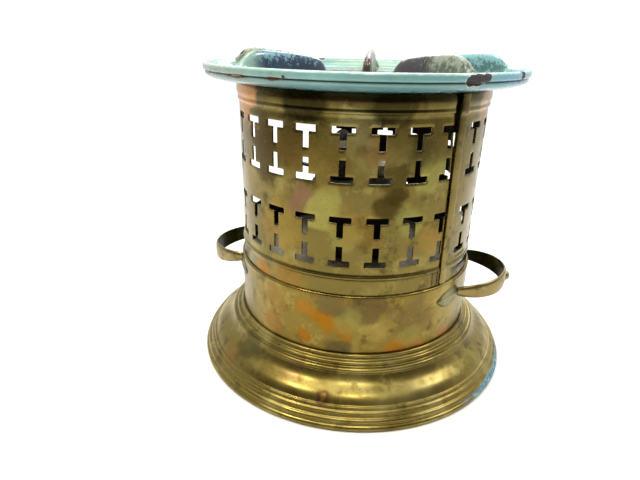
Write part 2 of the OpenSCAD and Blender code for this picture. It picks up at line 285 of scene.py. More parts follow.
# %% Gallery sheet
def in_slots(a, z):
    """True where (azimuth, height) falls inside any of the I-shaped slots."""
    off = np.abs(a[None, :] - slots[:, None]).min(0)[None, :]
    middle = np.array([SLOT_LOW, SLOT_HIGH]) + SLOT_H / 2
    from_end = (SLOT_H / 2 - np.abs(z[None, :] - middle[:, None]).min(0))[:, None]
    bar = (off < BAR_HALF) & (from_end > 0) & (from_end < BAR_H)
    stem = (off < STEM_HALF) & (from_end > 0) & (from_end < T_H)
    return bar | stem

def opening_edge(a, z):
    """Distance in mm outside the lamp opening, a rectangle with round corners."""
    dx = np.radians(np.abs(a - OPEN_MID)) * gallery_r - OPEN_HALF_MM + OPEN_R
    dz = np.abs(z - OPEN_MID_Z) - OPEN_H / 2 + OPEN_R
    beyond = np.hypot(np.maximum(dx, 0), np.maximum(dz, 0))
    return beyond + np.minimum(np.maximum(dx, dz), 0) - OPEN_R

# knocks in the sheet: azimuth, height, depth, size in mm
KNOCKS = [(-13, 108, 0.22, 8), (14, 113, 0.3, 9), (-28, 96, 0.2, 10), (30, 100, 0.25, 8),
          (-5, 142, 0.16, 9), (25, 150, 0.2, 12), (-45, 110, 0.3, 14), (90, 112, 0.4, 16),
          (180, 112, 0.35, 18), (140, 95, 0.3, 10), (-75, 100, 0.3, 12)]
DEGREE_MM = 1.22  # one degree round the gallery

def sheet_relief(a, z):
    """Rise of the sheet above its radius: a bead, a collar and a bead under it, and knocks."""
    rise = 0.6 * np.sqrt(np.clip(1 - ((z - bead) / 1.05) ** 2, 0, 1))
    rise = rise + 0.85 * np.sqrt(np.clip(1 - ((z - COLLAR_Z) / 1.3) ** 2, 0, 1))
    up = (z - COLLAR_Z - 1.0) / (gallery_top - COLLAR_Z - 1.0)
    rise = np.maximum(rise, np.where(up > 0, 1.3 * np.sin(np.clip(up, 0, 1) * 2.3 + 0.35), 0))
    for azimuth, height, depth, size in KNOCKS:
        off = ((a - azimuth + 180) % 360 - 180) * DEGREE_MM
        rise = rise - depth * np.exp(-(off**2 + (z - height) ** 2) / size**2)
    wave = 0.1 * np.sin(np.radians(3 * a + 20)) * np.sin(z / 17)
    wave = wave + 0.06 * np.sin(np.radians(11 * a)) * np.sin(z / 9 + 1)
    return rise - wave * np.clip((z - drum_top - 1) / 6, 0, 1)

A, Z = np.meshgrid(columns, rows)
mid_a, mid_z = (columns[1:] + columns[:-1]) / 2, (rows[1:] + rows[:-1]) / 2
MA, MZ = np.meshgrid(mid_a, mid_z)
open_cell = in_slots(mid_a, mid_z) | (opening_edge(MA, MZ) < 0)
cells = quads(len(rows), len(columns))[~open_cell.ravel()]
print("punched out:", int(open_cell.sum()), "of", open_cell.size, "cells")
# corners of the slots: the corner point moves into the hole by 0.3 of the radius
for centre in slots:
    for base in (SLOT_LOW, SLOT_HIGH):
        for side in (-1, 1):
            for edge, inward in ((0, 1), (BAR_H, -1), (SLOT_H - BAR_H, 1), (SLOT_H, -1)):
                hit = np.abs(A - centre - side * BAR_HALF) < 1e-3
                hit &= np.abs(Z - base - edge) < 1e-3
                A[hit] -= side * 0.3 * ROUND_A
                Z[hit] += inward * 0.3 * ROUND
# stair-stepped corners of the lamp opening are drawn on to their arc
reach_mm = opening_edge(A, Z)
across, above = np.radians(A - OPEN_MID) * gallery_r, Z - OPEN_MID_Z
corner_x = np.sign(across) * (OPEN_HALF_MM - OPEN_R)
corner_z = np.sign(above) * (OPEN_H / 2 - OPEN_R)
in_corner = (np.abs(across) > np.abs(corner_x)) & (np.abs(above) > np.abs(corner_z))
near = in_corner & (np.abs(reach_mm) < 1.0)
dx, dz = across - corner_x, above - corner_z
length = np.maximum(np.hypot(dx, dz), 1e-6)
used = np.zeros(A.size, bool)
used[np.unique(cells)] = True
edge_point = near & used.reshape(A.shape)
A = np.where(edge_point, OPEN_MID + np.degrees((corner_x + dx / length * OPEN_R) / gallery_r), A)
Z = np.where(edge_point, OPEN_MID_Z + corner_z + dz / length * OPEN_R, Z)
# the sprung edge at the seam: nearly shut below 126 mm, and 4.2 mm wider at the top
GAPE_Z, GAPE_MM, GAPE_DEGREES = 126, 4.2, 9
gape = 0.35 + GAPE_MM * np.clip((Z - GAPE_Z) / (gallery_top - GAPE_Z), 0, 1) ** 1.3
drawn = np.clip((A - EDGE_LEFT + GAPE_DEGREES) / GAPE_DEGREES, 0, 1)
A = A - drawn * np.degrees(gape / gallery_r)
# the sheet is rolled 0.15 mm small and fills its full radius where it sits in the drum
R = gallery_r - 0.15 + 0.17 * np.clip((76 - Z) / 6, 0, 1) + sheet_relief(A, Z)
gallery = make("pierced_gallery", [(round_z(A, R, Z), [cells])], closed=False)

# %% [markdown]
# The sheet's normals have to point away from the axis before Solidify, which then grows the
# wall inwards. Loose points in the holes are removed first.

# %% Thickness and rubbed edges
work = bmesh.new()
work.from_mesh(gallery.data)
bmesh.ops.delete(work, geom=[v for v in work.verts if not v.link_faces], context="VERTS")
work.faces.ensure_lookup_table()
first = work.faces[0]
if first.normal.xy.dot(first.calc_center_median().xy) < 0:
    bmesh.ops.reverse_faces(work, faces=work.faces[:])
work.to_mesh(gallery.data)
work.free()
sheet = gallery.modifiers.new("sheet", "SOLIDIFY")
sheet.thickness = 0.85 * MM
sheet.offset = -1
sheet.material_offset = 1
rub = gallery.modifiers.new("rubbed_edges", "BEVEL")
rub.width = 0.16 * MM
rub.segments = 2
rub.limit_method = "ANGLE"
rub.angle_limit = math.radians(50)
stand_for(gallery, "gallery", "gallery")

# %% [markdown]
# ## The seam
# One edge of the sheet is folded back into a stout strip that stands proud of the wall. It is
# a long ribbon: a rounded section, carried up the wall and out over the collar. A short lap of
# sheet is soldered beside its foot, and the crumpled solder shows as a wavering line.

# %% Folded strip and lap
def ribbon(azimuth, width, z, inner, outer, lean=0.0):
    """A strip up the wall. Section: |side / half|^4 + |depth / half|^4 = 1, per height z."""
    t = np.linspace(0, 2 * np.pi, 28, endpoint=False)
    side = np.sign(np.cos(t)) * np.abs(np.cos(t)) ** 0.5 * width / 2
    depth = np.sign(np.sin(t)) * np.abs(np.sin(t)) ** 0.5
    z, inner, outer, azimuth = (np.asarray(v + 0 * z, float)[:, None]
                                for v in (z, inner, outer, azimuth))
    r = (inner + outer) / 2 + (outer - inner) / 2 * depth + lean * side
    turn = azimuth + np.degrees(side / gallery_r) + 0 * z
    return round_z(turn, r, z + 0 * side)

STRIP_W = 4.7
strip_z = np.concatenate([np.linspace(drum_top + 0.6, COLLAR_Z - 4, 60),
                          np.linspace(COLLAR_Z - 3.6, gallery_top - 0.1, 26)])
knock = 0.12 * np.sin(strip_z / 7.3) + 0.08 * np.sin(strip_z / 2.9 + 1)
over_collar = 0.75 / (1 + np.exp(-(strip_z - COLLAR_Z + 1.5) * 2.2))
strip_out = gallery_r + 1.35 + over_collar + knock
strip_shell = loft(ribbon(SEAM, STRIP_W, strip_z, gallery_r - 0.1, strip_out, 0.04))
# the tab sits behind the gap at the top of the seam; it takes the near-black inside finish, as
# painted shade seen through the gap
tab_z = np.linspace(146.5, gallery_top - 0.3, 12)
tab_shell = loft(ribbon(SEAM - 2.2, 8.6, tab_z, gallery_r - 1.26, gallery_r - 0.95))
strip = make("folded_strip", [strip_shell, tab_shell])
stand_for(strip, "seam_strip", "gallery")

lap_z = np.linspace(drum_top + 0.7, bead - 1.1, 30)
lap_out = gallery_r + 0.5 + 0.05 * np.sin(lap_z * 1.7)
lap_shell = loft(ribbon(SEAM - 4.4, STRIP_W, lap_z, gallery_r - 0.4, lap_out))
z = np.linspace(drum_top + 0.9, bead - 0.6, 64)
crumple = np.abs(np.sin(z * 2.6)) * 0.4 + np.abs(np.sin(z * 4.3 + 1)) * 0.25
wander = SEAM - 3.1 + 0.12 * np.sin(z * 3.1)
solder_shell = loft(ribbon(wander, 1.3, z, gallery_r - 0.2, gallery_r + 0.5 + crumple))
lap = make("soldered_lap", [lap_shell, solder_shell])
stand_for(lap, "seam_lap", "gallery")

# %% [markdown]
# ## The two finger loops
# Each loop is a strip of brass on edge, bent to a half circle and swelling in height towards
# its middle. Its two ends run into leaf-shaped plates soldered to the drum, and a small turned
# button is riveted to its middle.

# %% Loops, leaf plates and buttons
LOOP_Z, LOOP_R, LOOP_MID = 56.5, 26.1, drum_out - 4
STRAP_ROWS = 97  # sections along a strap
STRAP_FRONT = 17  # points of a section on its outside
STRAP_BACK = [[-0.85, -0.72, -0.66, -0.72, -0.85], [0.42, 0.22, 0, -0.22, -0.42]]

def around(angle, out, side, z):
    """Point `out` from the axis along azimuth `angle`, and `side` across it."""
    a = math.radians(angle)
    x = out * math.sin(a) + side * math.cos(a)
    y = -out * math.cos(a) + side * math.sin(a)
    return np.stack(np.broadcast_arrays(x, y, z), -1)

def strap(angle, turn, sag, tilt):
    """Leg, half circle, leg. Section: hollow inside, outside swelling as cos(b)^0.6. Height at
    arc length s is 4.4 + 6.8 sin(pi s / total)^0.6. The front end hangs by sag, the tip by
    tilt."""
    leg = LOOP_MID - math.sqrt((drum_out + 0.1) ** 2 - LOOP_R**2)
    total = 2 * leg + math.pi * LOOP_R
    s = np.linspace(0, total, STRAP_ROWS)[:, None]
    phi = np.clip((s - leg) / LOOP_R, 0, math.pi)
    out = LOOP_R * np.sin(phi) - np.clip(leg - s, 0, None) - np.clip(s - total + leg, 0, None)
    side = -LOOP_R * np.cos(phi)
    height = 4.4 + 6.8 * np.abs(np.sin(np.pi * s / total)) ** 0.6
    drop = sag * np.clip(turn * (1 - 2 * s / total), 0, 1) ** 1.3 + tilt * (2 * np.sin(phi) - 1)
    b = np.radians(np.linspace(-90, 90, STRAP_FRONT))
    n = np.concatenate([-0.8 + 1.75 * np.abs(np.cos(b)) ** 0.6, STRAP_BACK[0]])[None, :]
    v = np.concatenate([np.sin(b) * 0.5, STRAP_BACK[1]])[None, :] * height
    out, side = LOOP_MID + out + n * np.sin(phi), side - n * np.cos(phi)
    return loft(around(angle, out, side, LOOP_Z - drop + v))

def leaf(angle, root_side, rise):
    """Half-height 5.6 (1 - s^2)^0.8 from end to end, s = -1 to 1, of a leaf 22 mm long, with a
    ridge along it and a swelling where the strap's root meets it."""
    s = np.linspace(-0.995, 0.995, 41)[:, None]
    tall = 5.6 * (1 - s**2) ** 0.8 + 0.1
    b = np.radians(np.linspace(-90, 90, 19))
    thick = (0.95 + 0.5 * np.exp(-((s - root_side * 0.55) / 0.3) ** 2)) * (1 - 0.55 * s**6)
    ridge = 0.55 * np.exp(-((np.sin(b) - 0.15) / 0.2) ** 2)[None, :]
    n = np.concatenate([np.abs(np.cos(b)) ** 1.1, [-0.1, -0.1, -0.1]])[None, :] * thick
    hammered = 0.12 * np.sin(5 * s + 3 * np.sin(b)) * np.cos(b)
    n[:, :len(b)] += (ridge + hammered) * (1 - s**2)
    v = np.concatenate([np.sin(b), [0.7, 0, -0.7]])[None, :] * tall
    turn = angle + np.degrees(11.3 * s / drum_out) + 0 * v
    return loft(round_z(turn, drum_out - 0.1 + n, LOOP_Z + rise + v))

def button(angle, tilt):
    """Turned button: a low dome on a collar, carried round the button's own axis."""
    dome = arc([0, 0], 1, 5, 89, 9) * [2.8, 1.9] + [0, 0.5]
    profile = np.concatenate([[[0.05, -0.6], [3.1, -0.6], [3.3, 0.2], [2.9, 0.6]], dome])
    t = np.radians(np.arange(32) * 11.25)[None, :]
    rho, h = profile[:, 0][:, None], profile[:, 1][:, None]
    out = LOOP_MID + LOOP_R + 0.75 + h + 0 * t
    return loft(around(angle, out, rho * np.cos(t), LOOP_Z - tilt + rho * np.sin(t)))

# side, azimuth, way round, (sag, tilt) of the loop, rise of the front leaf
for side, angle, turn, slope, rise in (("right", 79.0, 1, (2.4, 0.0), -2.0),
                                       ("left", -98.0, -1, (-0.6, 1.6), 0.2)):
    loop = make(side + "_loop", [strap(angle, turn, *slope)])
    stand_for(loop, side + "_handle", "base")
    front = make(side + "_front_leaf", [leaf(angle - 28 * turn - 1, turn, rise)])
    stand_for(front, side + "_front_plate", "base")
    rear = make(side + "_rear_leaf", [leaf(angle + 28 * turn, -turn, -1.2)])
    stand_for(rear, side + "_rear_plate", "base")
    knob = make(side + "_turned_button", [button(angle, slope[1])])
    stand_for(knob, side + "_button", "base")

# %% [markdown]
# ## The pot ring
# The ring is cast iron under vitreous enamel, so every corner is soft. It has a thick rim with
# a groove below it, a dished inside and a spigot that drops into the gallery. Five lugs stand
# on it like fins, and the outline of a lug is a measured curve: heights at distances from the axis.

# %% Ring and lugs
rim_z = ring_z + 9.1
hole_r = 57.0
spigot = gallery_r - 1.3
ring_profile = np.concatenate([
    arc([hole_r + 1.0, ring_z + 1.2], 1.1, 180, 270, 5),
    [[spigot - 2.6, ring_z + 0.05], [spigot - 2.1, ring_z - 0.4], [spigot - 2, ring_z - 4.2]],
    arc([spigot - 1.4, ring_z - 4.0], 0.6, 180, 360, 6)[:-1],
    [[spigot, ring_z - 0.4], [spigot + 0.5, ring_z + 0.02], [ring_r - 17, ring_z + 0.02]],
    [[ring_r - 11, ring_z + 0.5], [ring_r - 6, ring_z + 1.35], [ring_r - 3.6, ring_z + 2.0],
     [ring_r - 2.0, ring_z + 2.8], [ring_r - 1.1, ring_z + 3.6], [ring_r - 0.8, ring_z + 4.3],
     [ring_r - 0.95, ring_z + 4.8], [ring_r - 1.45, ring_z + 5.05], [ring_r - 1.4, ring_z + 5.3],
     [ring_r - 0.7, ring_z + 5.55], [ring_r - 0.15, ring_z + 5.95]],
    np.stack([np.full(4, ring_r) - [0, 0, 0, 0.03], np.linspace(ring_z + 6.3, rim_z - 1.7, 4)], -1),
    arc([ring_r - 1.5, rim_z - 1.5], 1.5, 0, 115, 9),
    arc([ring_r - 11, rim_z + 3], 8.4, -34, -78, 12),
    np.linspace([ring_r - 10.2, ring_z + 3.55], [hole_r + 2.2, ring_z + 2.5], 9),
    arc([hole_r + 1.3, ring_z + 1.2], 1.4, 80, 172, 6)])

LUG_R = [30.9, 31.6, 33, 36, 42, 54, 66, 73, 77.5, 80.3, 82.6, 84.6, 86.2, 87.6, 88.2]
LUG_TOP = [171.0, 173.2, 175.2, 177.3, 178.8, 180.3, 181.1, 181.4, 181.1, 180.2, 178.7, 176.9,
           175.5, 174.6, 173.9]
LUG_FOOT = [169.6, 168.0, 166.9, 166.2, 166.0, 166.0, 166.6, 166.8, 167.2, 168.0, 168.6, 169.2,
            169.8, 170.4, 171.0]
HALF_CREST, HALF_BASE = 2.35, 4.2  # half thickness of a lug

def lug(angle, seed):
    """Fin across the ring: at height share u the half-width is base + (top - base) u^0.8,
    rounded over by (1 - u^7)^0.5, and flared where the fin meets the ring's surface."""
    r = np.concatenate([np.linspace(30.9, 36, 14), np.linspace(37, 80, 44),
                        np.linspace(80.6, 88.0, 18)])[:, None]
    top = np.interp(r, LUG_R, np.array(LUG_TOP) - 181.52 + crest_z) + 0.12 * np.sin(r / 6 + seed)
    foot_line = np.interp(r, LUG_R, np.array(LUG_FOOT) - 165.5 + ring_z)
    u = np.sin(np.radians(np.linspace(0, 90, 17)))[None, :]
    ends = (1 - np.clip(np.abs(r - 59.5) / 28.9, 0, 1) ** 9) ** 0.5
    z = foot_line + (top - foot_line) * u
    surface = np.interp(r, [57, 78, 84, 87], [ring_z + 2.4, ring_z + 3.6, ring_z + 6.5, rim_z])
    flare = 1.9 * np.exp(-np.clip(z - surface, 0, None) / 1.5) * np.clip((r - 55) / 6, 0, 1)
    crown = (1 - u**7) ** 0.5
    half = (HALF_BASE + (HALF_CREST - HALF_BASE) * u**0.8) * crown * (0.25 + 0.75 * ends)
    half = half + flare * ends + 0.1 * np.sin(r / 4.1 + 2 * seed) * crown
    side = np.concatenate([half, -half[:, -2::-1]], 1)
    height = np.concatenate([z, z[:, -2::-1]], 1)
    return loft(around(angle, r + 0 * side, side, height))

LUGS = [176 + 72 * i for i in range(5)]
shells = [spin(ring_profile)] + [lug(angle, i) for i, angle in enumerate(LUGS)]
ring = make("enamelled_ring", shells)
stand_for(ring, "pot_ring", "ring")
is_fin = np.zeros(len(ring.data.vertices), np.float32)
is_fin[len(ring_profile) * STEPS:] = 1
ring.data.attributes.new("fin", "FLOAT", "POINT").data.foreach_set("value", is_fin)

# %% [markdown]
# ## The wick
# The cotton wick fills its tube and stands above it as a charred, frayed dome. The dome is a
# profile of revolution whose radius wavers with angle and height, so the light breaks on it.

# %% Charred wick
tube_left, tube_right = (corner.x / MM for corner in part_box("wick_tube"))
wick_x, tube_r = (tube_left + tube_right) / 2, (tube_right - tube_left) / 2
tube_top, wick_top, wick_low = high("wick_tube"), high("wick"), low("wick")

def frayed_wick():
    """Stem radius times waves of 4, 9 and 17 lobes; the crown closes as a quarter circle."""
    shell = tube_r - 0.9
    crown = arc([0, wick_top - shell - 0.4], shell, 0, 88, 18)
    stem = np.stack([np.full(20, shell), np.linspace(wick_low + 2, tube_top + 2, 20)], -1)
    profile = np.concatenate([[[shell - 1.5, wick_low], [shell, wick_low + 1]], stem, crown])
    t = np.radians(np.arange(96) * 3.75)[None, :]
    r, z = profile[:, 0][:, None], profile[:, 1][:, None]
    free = np.clip((z - tube_top) / 3, 0, 1)
    lobes = 0.25 * np.sin(4 * t + z / 2) + 0.3 * np.sin(9 * t - z * 1.3)
    lobes = lobes + 0.18 * np.sin(17 * t + z * 2.6)
    r = r * (1 + free * lobes * 0.16) - 0.15 * (1 - free) * np.abs(np.sin(6 * t + z / 3))
    z = z + free * 0.35 * np.sin(7 * t + r)
    return loft(np.stack([wick_x + r * np.cos(t), r * np.sin(t), z + 0 * t], -1))

wick = make("frayed_wick", [frayed_wick()])
stand_for(wick, "wick", "lamp")

# %% [markdown]
# ## Colours and nodes
# Colours are written as sRGB hex and turned to linear light by one function. Another adds a
# node: it sets the node's own options, gives values to its sockets, and links the sockets that
# are handed a socket or a node. `coat` lays one colour over another where a mask rises from
# low to high. A Map Range runs from 0 to 1 where its sockets 3 and 4 are left alone.

# %% Node helpers
def colour(text):
    """sRGB hex to linear: ((c + 0.055) / 1.055)^2.4 above 0.04045, else c / 12.92."""
    c = np.array([int(text[k:k + 2], 16) for k in (1, 3, 5)]) / 255
    c = np.where(c > 0.04045, ((c + 0.055) / 1.055) ** 2.4, c / 12.92)
    return (*c.tolist(), 1.0)


def add(tree, kind, inputs=None, **options):
    """A node of this kind. inputs maps a socket's name or number to a value, to another socket,
    or to a node, which means that node's first output."""
    node = tree.nodes.new("ShaderNode" + kind)
    for name, value in options.items():
        setattr(node, name, value)
    for key, value in (inputs or {}).items():
        value = value.outputs[0] if isinstance(value, bpy.types.Node) else value
        if isinstance(value, bpy.types.NodeSocket):
            tree.links.new(value, node.inputs[key])
        else:
            node.inputs[key].default_value = value
    return node


def coat(tree, under, over, mask, low=0.0, high=1.0, most=1.0):
    """over on under where the mask goes smoothly from low to high, at most `most` opaque."""
    ramp = add(tree, "MapRange", {0: mask, 1: low, 2: high, 4: most},
               interpolation_type="SMOOTHSTEP")
    under, over = (colour(c) if isinstance(c, str) else c for c in (under, over))
    return add(tree, "Mix", {0: ramp, 6: under, 7: over}, data_type="RGBA").outputs[2]


def grain(tree, where, size_mm, detail=4.0, rough=0.55, distortion=0.0, turn=(), stretch=()):
    """Blotches about size_mm across, made finer along turned axes by the factors in stretch."""
    if stretch:
        where = add(tree, "Mapping", {"Vector": where, "Rotation": turn, "Scale": stretch})
    return add(tree, "TexNoise", {"Vector": where, "Scale": 500 / size_mm, "Detail": detail,
                                  "Roughness": rough, "Distortion": distortion})


def ruffle(tree, here, size_mm, by_mm):
    """Coordinates shifted by up to by_mm in blotches of size_mm, to make ragged outlines."""
    noise = add(tree, "TexNoise", {"Vector": here, "Scale": 500 / size_mm, "Detail": 3.0})
    shift = add(tree, "VectorMath", {0: noise.outputs["Color"], 1: (0.5, 0.5, 0.5)},
                operation="SUBTRACT")
    shift = add(tree, "VectorMath", {0: shift, "Scale": 2 * by_mm * MM}, operation="SCALE")
    return add(tree, "VectorMath", {0: here, 1: shift}, operation="ADD")


def within(tree, where, place_mm, size_mm, full_mm=0.0):
    """1 as far as full_mm from a place, then falling to 0 at size_mm from it."""
    place = tuple(float(v) * MM for v in place_mm)
    gap = add(tree, "VectorMath", {0: where, 1: place}, operation="DISTANCE").outputs["Value"]
    return add(tree, "MapRange", {0: gap, 1: size_mm * MM, 2: full_mm * MM})


def nearness(tree, where, azimuth, r, z, size_mm):
    """1 at a place on the surface, falling to 0 at size_mm from it."""
    return within(tree, where, round_z(azimuth, r, z), size_mm)


def section_of(tree, where):
    """(distance from the axis, 0, height), the same all the way round the object."""
    xyz = add(tree, "SeparateXYZ", {0: where})
    flat = add(tree, "CombineXYZ", {0: xyz.outputs[0], 1: xyz.outputs[1]})
    far = add(tree, "VectorMath", {0: flat}, operation="LENGTH").outputs["Value"]
    return add(tree, "CombineXYZ", {0: far, 2: xyz.outputs[2]})


def begin(name, **shader):
    """A new material, its nodes, its shader with these values, and the object's coordinates."""
    material = bpy.data.materials.new(name)
    material.use_nodes = True
    tree = material.node_tree
    principled = tree.nodes["Principled BSDF"]
    for key, value in shader.items():
        principled.inputs[key.replace("_", " ")].default_value = value
    return material, tree, principled, add(tree, "TexCoord").outputs["Object"]


def finish_with(principled, paint, rough=None, metal=None, bumps=()):
    """Links the results to the shader. bumps: (height, strength, depth in mm), in a chain."""
    tree, chain = principled.id_data, {}
    for height, strength, depth in bumps:
        inputs = {"Height": height, "Strength": strength, "Distance": depth * MM}
        chain = {"Normal": add(tree, "Bump", {**inputs, **chain})}
    for name, node in {"Roughness": rough, "Metallic": metal, **chain}.items():
        if node is not None:
            tree.links.new(node.outputs[0], principled.inputs[name])
    tree.links.new(paint, principled.inputs["Base Color"])

print("a mid grey in linear light:", round(colour("#808080")[0], 4))

# %% [markdown]
# ## Brass that has not been polished for years
# The sheet is brass of about two parts copper to one of zinc, rolled, spun and soldered. Its
# bare colour is a pale gold. Air and flame have turned it olive and brown in clouds, heat has
# left copper-red, purple and yellow-green patches, and pits and scratches cut through them.
# One function paints all of that, and each piece passes the marks that it carries. Some marks on
# the gallery are painted light: painted reflections, painted highlights and painted shade.

# %% Aged brass
def aged_brass(name, pale, body, dark, marks=(), reach_r=([0], [70]), darker_towards_top=(), low_rough=0.15):
    """Clouds of pale, body and dark, then marks, specks, pits and rubbing lines.
    marks: (hex, azimuth, z, size mm, opacity). reach_r: heights, and the surface's radius at
    each. The band argument after reach_r: (z from, z to, opacity), darkening upwards; on the
    gallery it is painted shade under the ring, with smoke-blackening."""
    material, tree, principled, here = begin(name, Metallic=1.0)
    cloud = grain(tree, here, 16, 5, 0.6, 0.4)
    mottle = grain(tree, here, 4.5, 6, 0.62)
    speck = grain(tree, here, 0.9, 4, 0.6)
    paint = coat(tree, body, pale, cloud, 0.48, 0.72, 0.85)
    paint = coat(tree, paint, dark, mottle, 0.53, 0.67, 0.6)
    paint = coat(tree, paint, pale, grain(tree, here, 7, 8, 0.72), 0.55, 0.66, 0.5)
    ragged = ruffle(tree, ruffle(tree, here, 14, 5), 2.5, 1.4)
    height = add(tree, "SeparateXYZ", {0: ragged}).outputs[2]
    # bands of #2c2413 that darken upwards: on the gallery, painted shade under the ring with soot;
    # on the folded strip, darker towards the top
    for low_z, high_z, opacity in darker_towards_top:
        paint = coat(tree, paint, "#2c2413", height, low_z * MM, high_z * MM, opacity)
    frayed = grain(tree, here, 9, 9, 0.66, 0.8)
    frayed = add(tree, "MapRange", {0: frayed, 1: 0.3, 2: 0.7, 3: -0.3, 4: 0.3})
    for over, azimuth, z, size, opacity in marks:
        near = nearness(tree, ragged, azimuth, np.interp(z, *reach_r), z, 1.3 * size)
        near = add(tree, "Math", {0: near, 1: frayed}, operation="ADD")
        paint = coat(tree, paint, over, near, 0.2, 0.6, opacity)
    paint = coat(tree, paint, dark, speck, 0.6, 0.74, 0.275)
    # pits: the middles of cells about 4 mm apart, kept in some places only
    pit = add(tree, "TexVoronoi", {"Vector": here, "Scale": 260.0, "Randomness": 1.0})
    pit = add(tree, "MapRange", {0: pit, 1: 0.13, 2: 0.05})
    pitted = add(tree, "Math", {0: grain(tree, here, 9), 1: 0.54}, operation="GREATER_THAN")
    pit = add(tree, "Math", {0: pit, 1: pitted}, operation="MULTIPLY")
    paint = coat(tree, paint, "#2b2110", pit, most=0.4)
    # rubbing marks: fine lines that lie along the sheet, stretched twelve times
    rub = grain(tree, here, 5, 8, 0.75, turn=(0.3, 0.2, 0.5), stretch=(1, 1, 12))
    rough = low_rough
    for value, low, high, most in ((cloud, 0.3, 0.7, 0.12), (mottle, 0.45, 0.75, 0.14),
                                   (rub, 0, 1, 0.07)):
        more = add(tree, "MapRange", {0: value, 1: low, 2: high, 4: most})
        rough = add(tree, "Math", {0: more, 1: rough}, operation="ADD")
    finish_with(principled, paint, rough, bumps=[(grain(tree, here, 11, 2), 0.35, 0.5),
                (rub, 0.12, 0.06), (speck, 0.16, 0.05), (pit, -0.25, 0.12)])
    return material


def wear(obj, material):
    """The only material of a piece, or of a carried-over CAD node."""
    obj.data.materials.clear()
    obj.data.materials.append(material)
    print(obj.name, "wears", material.name)


def second_finish(obj, material, chosen):
    """The faces whose numbers pass `chosen` get this material in a second slot."""
    obj.data.materials.append(material)
    faces = np.arange(len(obj.data.polygons))
    obj.data.polygons.foreach_set("material_index", chosen(faces).astype(np.int32))

# %% [markdown]
# The marks are listed with colour, azimuth, height, size and how far each one covers the metal.
# Most are stains and heat colours; the gallery's list also holds painted reflections, painted
# highlights and painted shade. Loops, leaves and buttons share one recipe in three tints.

# %% Marks, and the brass pieces
# Painted light among the gallery marks: the yellow-green marks at -13, -10, -4, 22 and 29 degrees
# are painted reflections, and #8d8659 at -2 degrees, 150 mm is a painted highlight below the
# collar; the dark marks at 12.6, 14.5, 17 and 24 degrees are a painted dark reflection band; the
# two #1f1a0b marks under the collar are painted shade from the ring, with soot; the pale orange
# marks at -64, -52 and 64 degrees, 160 mm are painted highlights at the collar's ends.
GALLERY_STAINS_AND_PAINTED_LIGHT = [("#7d5a48", -23, 116.5, 8, 0.7), ("#775643", -26, 109, 6, 0.7),
    ("#7f5f3c", 6, 139, 8, 0.5), ("#8f8848", -13, 108, 11, 0.8), ("#8a8345", -10, 116, 8, 0.7),
    ("#8c8649", 29, 127, 13, 0.7), ("#867f44", -4, 95, 10, 0.6), ("#3d3215", 12.6, 112, 9, 0.85),
    ("#382e13", 17, 118, 7, 0.85), ("#3f3417", 14.5, 127, 9, 0.7), ("#1f1a0b", 12, 162, 15, 0.8),
    ("#1f1a0b", -24, 161, 15, 0.85), ("#8d8659", -2, 150, 10, 0.6), ("#39351a", 24, 138, 11, 0.6),
    ("#5c4320", -28, 138, 12, 0.6), ("#4a3d1e", -42, 132, 15, 0.85), ("#4f4120", -46, 148, 13, 0.7),
    ("#9a6a20", -47, 67, 9, 0.8), ("#8f6a2c", -30, 68, 12, 0.5), ("#8a6c32", 33, 95, 10, 0.5),
    ("#7d6029", 2, 100, 14, 0.4), ("#7f7d42", 22, 104, 9, 0.6), ("#8c7031", -33, 97, 16, 0.5),
    ("#6f5a26", -12, 135, 14, 0.6), ("#5d4f27", 36, 145, 14, 0.5), ("#8a7438", -60, 118, 14, 0.5),
    ("#c0864a", -64, 160, 17, 0.9), ("#b5824c", -52, 162, 9, 0.8), ("#a5855a", 64, 160, 13, 0.7),
    ("#8b7b42", 110, 110, 30, 0.5), ("#5f4922", 150, 130, 26, 0.5), ("#7f6530", 195, 90, 24, 0.5),
    ("#5c4a26", -160, 140, 26, 0.5), ("#8b7d40", -95, 135, 22, 0.5)]
DRUM_MARKS = [("#93600f", -10, 47.5, 8, 0.85), ("#8f5c10", -2, 44, 7, 0.8),
    ("#935f12", -15, 50, 6, 0.7), ("#8d5a10", -20, 37, 6, 0.8), ("#9a6119", -21, 54, 5, 0.6),
    ("#98621c", 21, 32, 8, 0.8), ("#a0703c", 48, 31, 7, 0.75), ("#85602a", -36, 55, 9, 0.5),
    ("#89622a", -38, 38, 8, 0.7), ("#4d3e28", 8, 60, 12, 0.7), ("#574a30", 26, 52, 15, 0.5),
    ("#93692f", 31, 31, 7, 0.7), ("#847c42", -2, 50, 10, 0.6), ("#4a3f2c", -5, 33, 10, 0.7),
    ("#564930", -10, 61, 10, 0.6), ("#837d42", 26, 39, 9, 0.5), ("#6f5f36", -58, 46, 20, 0.5),
    ("#85602c", 130, 40, 18, 0.5), ("#5e4924", 180, 48, 20, 0.6), ("#84682f", -130, 36, 16, 0.5)]
FOOT_MARKS = [("#54362a", -7.8, 13.2, 5, 0.85), ("#8f7330", -7.8, 13.2, 2.6, 0.9),
    ("#c0a038", 13, 12.7, 1.6, 0.4), ("#c0a038", 11.6, 24.6, 1.6, 0.35),
    ("#4a4630", 62, 22, 8, 0.5), ("#4b4526", -45, 19, 12, 0.7), ("#8c6430", -52, 12, 7, 0.5),
    ("#5f5130", 30, 17, 16, 0.4), ("#8d7b42", 5, 10, 12, 0.5), ("#6d4f35", -22, 20, 8, 0.4),
    ("#5d4a2a", 38, 24, 9, 0.3)]
# pale, body and dark of the fittings, by the ending of the piece's name
FITTINGS = {"_loop": ("#bdb393", "#86764a", "#5a4626"), "_leaf": ("#8f8964", "#69633f", "#2f2b19"),
            "_button": ("#c8c4b2", "#9c9478", "#5f573d")}
